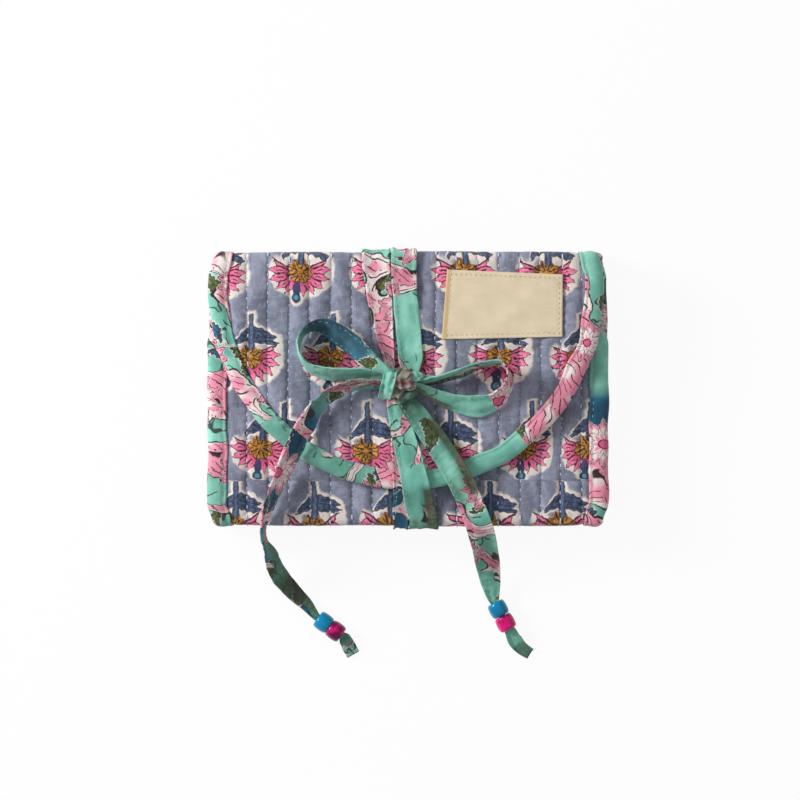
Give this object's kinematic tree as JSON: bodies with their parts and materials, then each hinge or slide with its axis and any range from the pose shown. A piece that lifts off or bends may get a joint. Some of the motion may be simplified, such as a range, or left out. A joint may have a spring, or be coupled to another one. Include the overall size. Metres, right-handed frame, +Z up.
{
  "type": "quilted jewelry organizer",
  "caption": "Soft quilted fold-up jewelry organizer with a curved flap, zipped pockets and a ring roll, wrapped in a fabric tie with a bow and beaded ends.",
  "frame": {"origin": "middle of the closed pack's footprint, at the surface that it lies on", "axes": "+X across the pack, +Y towards the fold that the flap hangs on, +Z up"},
  "size_m": [0.2, 0.2058, 0.0459],
  "materials": {
    "quilted_cotton": "grey-lavender block print, quilted",
    "lining_cotton": "plain woven cotton",
    "pocket_cotton": "block print, one layer",
    "bias_binding": "mint print, folded on the bias",
    "tie_cotton": "mint print, sewn into a flat strip",
    "label_cloth": "woven, left bare",
    "zip_tape": "woven tape",
    "zip_plastic": "moulded teeth",
    "snap_metal": "bright",
    "bead_blue": "polished",
    "bead_pink": "polished, slightly clear"
  },
  "bodies": {
    "back": {"cover_back": "quilted_cotton", "lining_back": "lining_cotton", "binding_back_left": "bias_binding", "binding_back_right": "bias_binding", "tie_back_left": "tie_cotton", "tie_back_right": "tie_cotton", "ring_roll_anchor": "quilted_cotton", "ring_snap_stud": "snap_metal", "back_pocket_gusset": "lining_cotton", "back_pocket_wall": "pocket_cotton", "back_pocket_strip": "pocket_cotton", "back_zip_tape": "zip_tape", "back_zip_row_lower": "zip_plastic", "back_zip_row_upper": "zip_plastic", "back_zip_stop_left": "snap_metal", "back_zip_stop_right": "snap_metal"},
    "front": {"cover_front": "quilted_cotton", "lining_front": "lining_cotton", "binding_front": "bias_binding", "front_pocket_gusset": "lining_cotton", "front_pocket_wall": "pocket_cotton", "front_pocket_strip": "pocket_cotton", "front_zip_tape": "zip_tape", "front_zip_row_lower": "zip_plastic", "front_zip_row_upper": "zip_plastic", "front_zip_stop_left": "snap_metal", "front_zip_stop_right": "snap_metal"},
    "flap": {"cover_flap": "quilted_cotton", "lining_flap": "lining_cotton", "binding_flap": "bias_binding", "label": "label_cloth", "knot": "tie_cotton", "bow_loop_left": "tie_cotton", "bow_loop_right": "tie_cotton", "strap_upper_left": "tie_cotton", "strap_upper_right": "tie_cotton", "strap_lower_left": "tie_cotton", "strap_lower_right": "tie_cotton", "tail_left": "tie_cotton", "tail_right": "tie_cotton", "bead_left_upper": "bead_blue", "bead_left_lower": "bead_pink", "bead_right_upper": "bead_blue", "bead_right_lower": "bead_pink"},
    "ring_roll": {"ring_roll": "quilted_cotton", "ring_snap_socket": "snap_metal", "ring_snap_cap": "snap_metal"},
    "back_slider": {"back_zip_slider": "snap_metal"},
    "back_pull": {"back_zip_pull": "snap_metal"},
    "front_slider": {"front_zip_slider": "snap_metal"},
    "front_pull": {"front_zip_pull": "snap_metal"}
  },
  "joints": [
    {"name": "flap_fold", "type": "hinge", "parent": "back", "child": "flap", "pos_m": [0, 0.0685, 0.03431], "axis": [-1, 0, 0], "range_deg": [0, 180]},
    {"name": "front_fold", "type": "hinge", "parent": "back", "child": "front", "pos_m": [0, -0.0685, 0.0267], "axis": [1, 0, 0], "range_deg": [0, 72]},
    {"name": "ring_lift", "type": "hinge", "parent": "back", "child": "ring_roll", "pos_m": [-0.088, 0.048, 0.0077], "axis": [0, -1, 0], "range_deg": [0, 36]},
    {"name": "back_zip_slide", "type": "slide", "parent": "back", "child": "back_slider", "axis": [1, 0, 0], "range_m": [-0.132, 0]},
    {"name": "back_pull_swing", "type": "hinge", "parent": "back_slider", "child": "back_pull", "pos_m": [0.066, 0.024, 0.0134], "axis": [0, 1, 0], "range_deg": [0, 72]},
    {"name": "front_zip_slide", "type": "slide", "parent": "front", "child": "front_slider", "axis": [1, 0, 0], "range_m": [0, 0.132]},
    {"name": "front_pull_swing", "type": "hinge", "parent": "front_slider", "child": "front_pull", "pos_m": [-0.066, 0.008, 0.0132], "axis": [0, 1, 0], "range_deg": [0, 72]}
  ],
  "couplings": [
    {"joint": "front_fold", "follows": "flap_fold", "ratio": 0.4},
    {"joint": "ring_lift", "follows": "flap_fold", "ratio": 0.2},
    {"joint": "back_pull_swing", "follows": "flap_fold", "ratio": 0.4},
    {"joint": "front_pull_swing", "follows": "flap_fold", "ratio": 0.4}
  ]
}
